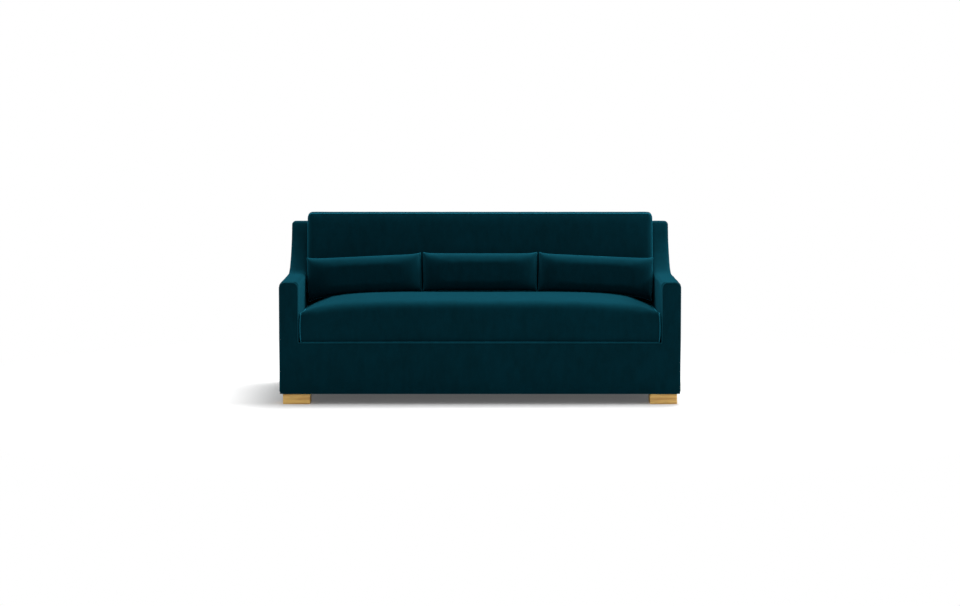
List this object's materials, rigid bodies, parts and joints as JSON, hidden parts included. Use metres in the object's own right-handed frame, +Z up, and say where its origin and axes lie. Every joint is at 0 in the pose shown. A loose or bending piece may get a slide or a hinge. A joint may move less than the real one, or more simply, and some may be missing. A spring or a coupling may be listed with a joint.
{
  "type": "sofa",
  "caption": "Upholstered sofa with arms that sweep up into the back, a bench seat cushion, a long back cushion, loose lumbar pillows and low block feet.",
  "frame": {"origin": "on the floor, under the centre of the sofa's bounding box", "axes": "+X across the width, to the right of someone who faces the sofa; +Y from front to back; +Z up"},
  "size_m": [1.98, 0.965, 0.9101],
  "materials": {
    "velvet": "dark teal cut-pile velvet",
    "foam": "open-cell polyurethane foam",
    "fibre_fill": "polyester fibre fill in a white lining",
    "frame_wood": "planed kiln-dried hardwood, unfinished",
    "oak": "natural oak, satin lacquer",
    "spring_steel": "oiled spring wire",
    "bolt_steel": "zinc-plated",
    "dust_cloth": "black non-woven dust cloth",
    "webbing": "woven elastic webbing"
  },
  "bodies": {
    "frame": {"front_rail": "frame_wood", "spring_rail": "frame_wood", "rear_rail": "frame_wood", "back_top_rail": "frame_wood", "back_upright_left": "frame_wood", "back_upright_right": "frame_wood", "stretcher_left": "frame_wood", "stretcher_right": "frame_wood", "arm_rail_left": "frame_wood", "arm_rail_right": "frame_wood", "rear_post_left": "frame_wood", "rear_post_right": "frame_wood", "front_post_left": "frame_wood", "front_post_right": "frame_wood", "side_rail_left": "frame_wood", "side_rail_right": "frame_wood", "corner_block_front_left": "frame_wood", "corner_block_front_right": "frame_wood", "corner_block_rear_left": "frame_wood", "corner_block_rear_right": "frame_wood", "foot_front_left": "oak", "foot_front_right": "oak", "foot_rear_left": "oak", "foot_rear_right": "oak", "foot_bolt_front_left": "bolt_steel", "foot_bolt_front_right": "bolt_steel", "foot_bolt_rear_left": "bolt_steel", "foot_bolt_rear_right": "bolt_steel", "seat_spring_01": "spring_steel", "seat_spring_02": "spring_steel", "seat_spring_03": "spring_steel", "seat_spring_04": "spring_steel", "seat_spring_05": "spring_steel", "seat_spring_06": "spring_steel", "seat_spring_07": "spring_steel", "seat_spring_08": "spring_steel", "seat_spring_09": "spring_steel", "seat_spring_10": "spring_steel", "back_webbing": "webbing", "arm_cover_left": "velvet", "arm_cover_right": "velvet", "front_cover": "velvet", "outside_back_cover": "velvet", "inside_back_cover": "velvet", "deck_pad": "velvet", "front_edge_roll": "foam", "dust_cover": "dust_cloth"},
    "seat_cushion": {"seat_cushion_cover": "velvet", "seat_cushion_core": "foam"},
    "back_cushion": {"back_cushion_cover": "velvet", "back_cushion_core": "fibre_fill"},
    "pillow_left": {"lumbar_pillow_cover_left": "velvet", "lumbar_pillow_insert_left": "fibre_fill"},
    "pillow_middle": {"lumbar_pillow_cover_middle": "velvet", "lumbar_pillow_insert_middle": "fibre_fill"},
    "pillow_right": {"lumbar_pillow_cover_right": "velvet", "lumbar_pillow_insert_right": "fibre_fill"}
  },
  "joints": [
    {"name": "seat_cushion_lift", "type": "slide", "parent": "frame", "child": "seat_cushion", "axis": [0, 0, 1], "range_m": [0, 0.6]},
    {"name": "back_cushion_lift", "type": "slide", "parent": "seat_cushion", "child": "back_cushion", "axis": [0, 0.1779, 0.984], "range_m": [0, 0.5]},
    {"name": "pillow_left_lift", "type": "slide", "parent": "seat_cushion", "child": "pillow_left", "axis": [0, -0.5, 0.866], "range_m": [0, 0.5]},
    {"name": "pillow_middle_lift", "type": "slide", "parent": "seat_cushion", "child": "pillow_middle", "axis": [0, -0.5, 0.866], "range_m": [0, 0.5]},
    {"name": "pillow_right_lift", "type": "slide", "parent": "seat_cushion", "child": "pillow_right", "axis": [0, -0.5, 0.866], "range_m": [0, 0.5]}
  ]
}
